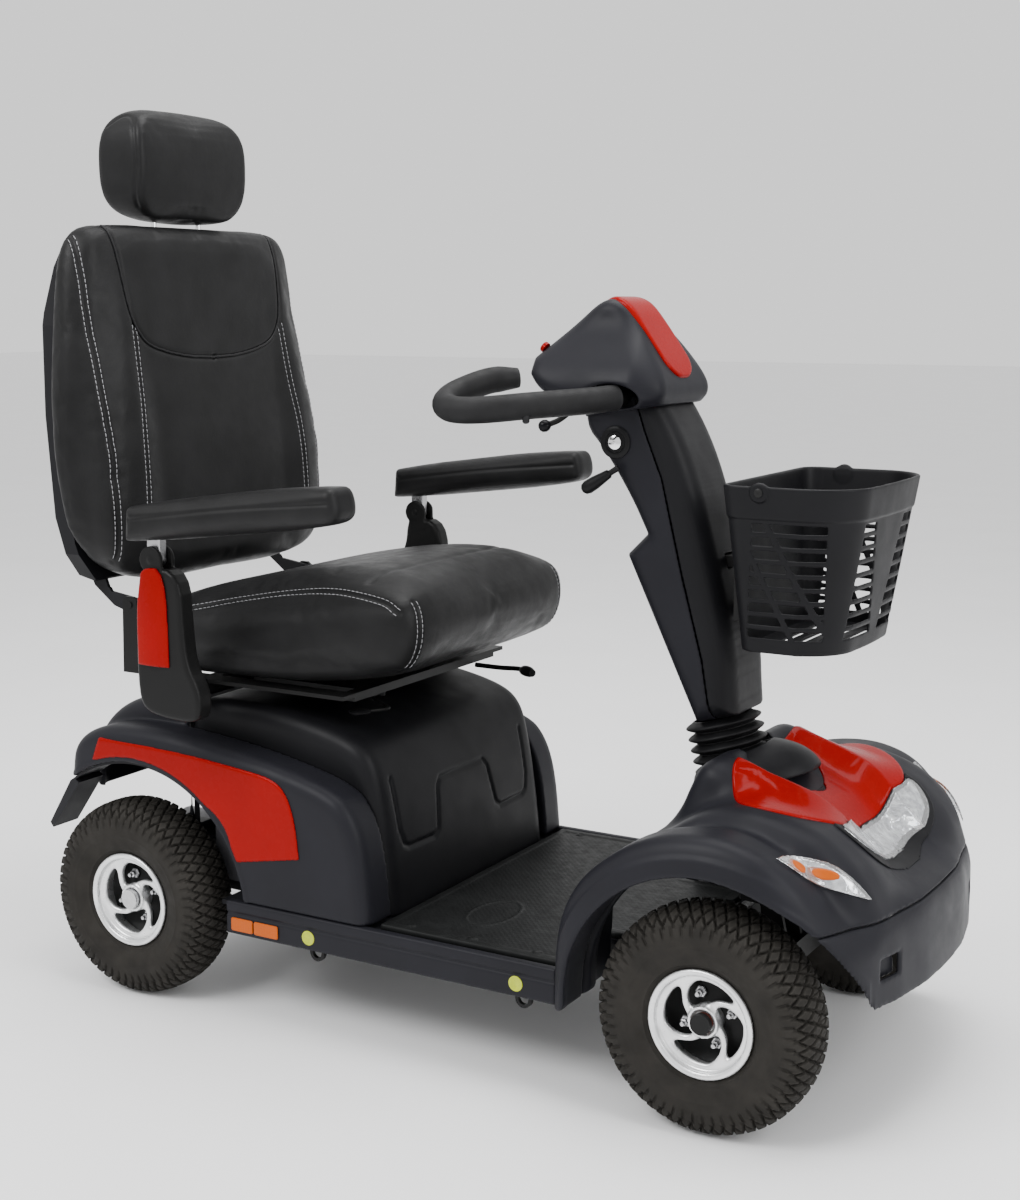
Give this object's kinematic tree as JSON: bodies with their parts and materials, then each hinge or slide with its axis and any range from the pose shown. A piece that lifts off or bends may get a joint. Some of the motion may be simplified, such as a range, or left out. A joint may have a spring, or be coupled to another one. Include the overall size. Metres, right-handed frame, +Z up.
{
  "type": "mobility scooter",
  "caption": "Four-wheeled battery mobility scooter with swivelling padded seat, lift-up armrests, tilting steering tiller, wraparound handlebar and front basket.",
  "frame": {"origin": "on the floor, under the middle of the overall box", "axes": "+X forward along the scooter, +Y to its left, +Z up"},
  "size_m": [1.392, 0.762, 1.3839],
  "materials": {
    "tyre_rubber": "matt, block tread",
    "rim_alloy": "machined satin cast alloy",
    "axle_steel": "zinc-plated, satin",
    "frame_paint": "satin black powder coat",
    "graphite_shell": "fine-grained moulded shell, satin",
    "black_shell": "fine-grained black moulding",
    "red_gloss": "high-gloss red lacquer",
    "gloss_black": "polished black",
    "floor_rubber": "fine ribbed anti-slip mat",
    "soft_rubber": "smooth moulded rubber",
    "grip_foam": "close-grained foam grip",
    "seat_leather": "grained black vinyl leather, double grey stitching",
    "clear_lens": "clear moulded lens",
    "amber_lens": "ribbed amber reflector",
    "red_lens": "ribbed red lamp lens",
    "battery_case": "smooth battery case",
    "cast_housing": "cast, painted",
    "key_metal": "polished",
    "control_plastic": "moulded control plastic"
  },
  "bodies": {
    "chassis": {"chassis_frame": "frame_paint", "seat_post": "frame_paint", "drive_unit": "cast_housing", "batteries": "battery_case", "floor_pan": "black_shell", "floor_mat": "floor_rubber", "sill_trims": "graphite_shell", "sill_reflectors": "amber_lens", "front_hood": "graphite_shell", "front_bumper": "graphite_shell", "hood_insert": "red_gloss", "headlight_lens": "clear_lens", "front_indicators": "clear_lens", "steering_cowl": "gloss_black", "pedestal_cover": "black_shell", "rear_body": "graphite_shell", "rear_side_panels": "red_gloss", "mudflaps": "gloss_black", "rear_lamps": "red_lens"},
    "knuckle_right": {"knuckle_right": "frame_paint"},
    "knuckle_left": {"knuckle_left": "frame_paint"},
    "tie_rod": {"tie_rod": "axle_steel"},
    "front_wheel_right": {"front_tyre_right": "tyre_rubber", "front_rim_right": "rim_alloy"},
    "front_wheel_left": {"front_tyre_left": "tyre_rubber", "front_rim_left": "rim_alloy"},
    "rear_wheel_right": {"rear_tyre_right": "tyre_rubber", "rear_rim_right": "rim_alloy", "half_shaft_right": "axle_steel"},
    "rear_wheel_left": {"rear_tyre_left": "tyre_rubber", "rear_rim_left": "rim_alloy", "half_shaft_left": "axle_steel"},
    "steering": {"steering_stem": "frame_paint", "steering_bellows": "soft_rubber"},
    "tiller": {"tiller_post": "frame_paint", "tiller_rear_cover": "black_shell", "tiller_front_cover": "graphite_shell", "console_shell": "graphite_shell", "console_insert": "red_gloss", "handlebar": "frame_paint", "handlebar_grips": "grip_foam"},
    "tilt_lever": {"tilt_lever": "control_plastic"},
    "key": {"key_barrel": "key_metal"},
    "drive_lever": {"drive_lever": "control_plastic"},
    "speed_dial": {"speed_dial": "control_plastic"},
    "horn_button": {"horn_button": "control_plastic"},
    "basket": {"basket": "black_shell"},
    "swivel": {"swivel_plate": "frame_paint"},
    "swivel_lever": {"swivel_lever": "control_plastic"},
    "seat": {"seat_frame": "frame_paint", "seat_cushion": "seat_leather", "armrest_posts": "black_shell", "armrest_post_covers": "red_gloss"},
    "slide_lever": {"slide_lever": "control_plastic"},
    "backrest": {"backrest_cushion": "seat_leather", "backrest_shell": "black_shell"},
    "headrest": {"headrest_pad": "seat_leather", "headrest_stems": "axle_steel"},
    "armrest_right": {"armrest_right": "seat_leather"},
    "armrest_left": {"armrest_left": "seat_leather"}
  },
  "joints": [
    {"name": "tiller_steer", "type": "hinge", "parent": "chassis", "child": "steering", "pos_m": [0.365, 0, 0.451], "axis": [-0.2756, 0, 0.9613], "range_deg": [-35, 35]},
    {"name": "knuckle_right_steer", "type": "hinge", "parent": "chassis", "child": "knuckle_right", "pos_m": [0.467, -0.215, 0.155], "axis": [0, 0, 1], "range_deg": [-30, 30]},
    {"name": "knuckle_left_steer", "type": "hinge", "parent": "chassis", "child": "knuckle_left", "pos_m": [0.467, 0.215, 0.155], "axis": [0, 0, 1], "range_deg": [-30, 30]},
    {"name": "tie_rod_shift", "type": "slide", "parent": "chassis", "child": "tie_rod", "axis": [0, 1, 0], "range_m": [-0.045, 0.045]},
    {"name": "front_wheel_right_spin", "type": "hinge", "parent": "knuckle_right", "child": "front_wheel_right", "pos_m": [0.467, -0.277, 0.155], "axis": [0, 1, 0], "continuous": true},
    {"name": "front_wheel_left_spin", "type": "hinge", "parent": "knuckle_left", "child": "front_wheel_left", "pos_m": [0.467, 0.277, 0.155], "axis": [0, 1, 0], "continuous": true},
    {"name": "rear_wheel_right_spin", "type": "hinge", "parent": "chassis", "child": "rear_wheel_right", "pos_m": [-0.507, -0.277, 0.155], "axis": [0, 1, 0], "continuous": true},
    {"name": "rear_wheel_left_spin", "type": "hinge", "parent": "chassis", "child": "rear_wheel_left", "pos_m": [-0.507, 0.277, 0.155], "axis": [0, 1, 0], "continuous": true},
    {"name": "tiller_tilt", "type": "hinge", "parent": "steering", "child": "tiller", "pos_m": [0.365, 0, 0.451], "axis": [0, 1, 0], "range_deg": [0, 25], "deforming": ["steering_bellows"]},
    {"name": "tilt_lever_pull", "type": "hinge", "parent": "tiller", "child": "tilt_lever", "pos_m": [0.228, -0.076, 0.846], "axis": [0, 1, 0], "range_deg": [-20, 0], "stiffness_Nm_per_rad": 1},
    {"name": "key_turn", "type": "hinge", "parent": "tiller", "child": "key", "pos_m": [0.214, -0.072, 0.88], "axis": [0, 1, 0], "range_deg": [0, 90]},
    {"name": "drive_lever_press", "type": "hinge", "parent": "tiller", "child": "drive_lever", "pos_m": [0.15, 0, 1], "axis": [0, 0, 1], "range_deg": [-5, 5], "stiffness_Nm_per_rad": 2},
    {"name": "speed_dial_turn", "type": "hinge", "parent": "tiller", "child": "speed_dial", "pos_m": [0.1, 0, 1.008], "axis": [-0.824, 0, 0.5665], "range_deg": [0, 270]},
    {"name": "horn_press", "type": "slide", "parent": "tiller", "child": "horn_button", "axis": [0.824, 0, -0.5665], "range_m": [0, 0.002], "stiffness_N_per_m": 400},
    {"name": "basket_lift", "type": "slide", "parent": "tiller", "child": "basket", "axis": [0, 0, 1], "range_m": [0, 0.12]},
    {"name": "seat_swivel", "type": "hinge", "parent": "chassis", "child": "swivel", "pos_m": [-0.29, 0, 0.475], "axis": [0, 0, 1], "range_deg": [-90, 90]},
    {"name": "swivel_lever_pull", "type": "hinge", "parent": "swivel", "child": "swivel_lever", "pos_m": [-0.2, -0.06, 0.47], "axis": [0, 0, 1], "range_deg": [0, 15], "stiffness_Nm_per_rad": 2},
    {"name": "seat_slide", "type": "slide", "parent": "swivel", "child": "seat", "axis": [1, 0, 0], "range_m": [-0.06, 0.03]},
    {"name": "slide_lever_lift", "type": "hinge", "parent": "seat", "child": "slide_lever", "pos_m": [-0.16, 0.16, 0.481], "axis": [0, -1, 0], "range_deg": [0, 12], "stiffness_Nm_per_rad": 2},
    {"name": "backrest_fold", "type": "hinge", "parent": "seat", "child": "backrest", "pos_m": [-0.56, 0, 0.605], "axis": [0, 1, 0], "range_deg": [-12, 50]},
    {"name": "headrest_height", "type": "slide", "parent": "backrest", "child": "headrest", "axis": [0, 0, 1], "range_m": [0, 0.06]},
    {"name": "armrest_right_lift", "type": "hinge", "parent": "seat", "child": "armrest_right", "pos_m": [-0.394, -0.349, 0.705], "axis": [0, -1, 0], "range_deg": [0, 90]},
    {"name": "armrest_left_lift", "type": "hinge", "parent": "seat", "child": "armrest_left", "pos_m": [-0.394, 0.349, 0.705], "axis": [0, -1, 0], "range_deg": [0, 90]}
  ],
  "couplings": [
    {"joint": "knuckle_right_steer", "follows": "tiller_steer", "ratio": 0.85714},
    {"joint": "knuckle_left_steer", "follows": "tiller_steer", "ratio": 0.85714},
    {"joint": "tie_rod_shift", "follows": "tiller_steer", "m_per_rad": -0.064286}
  ]
}
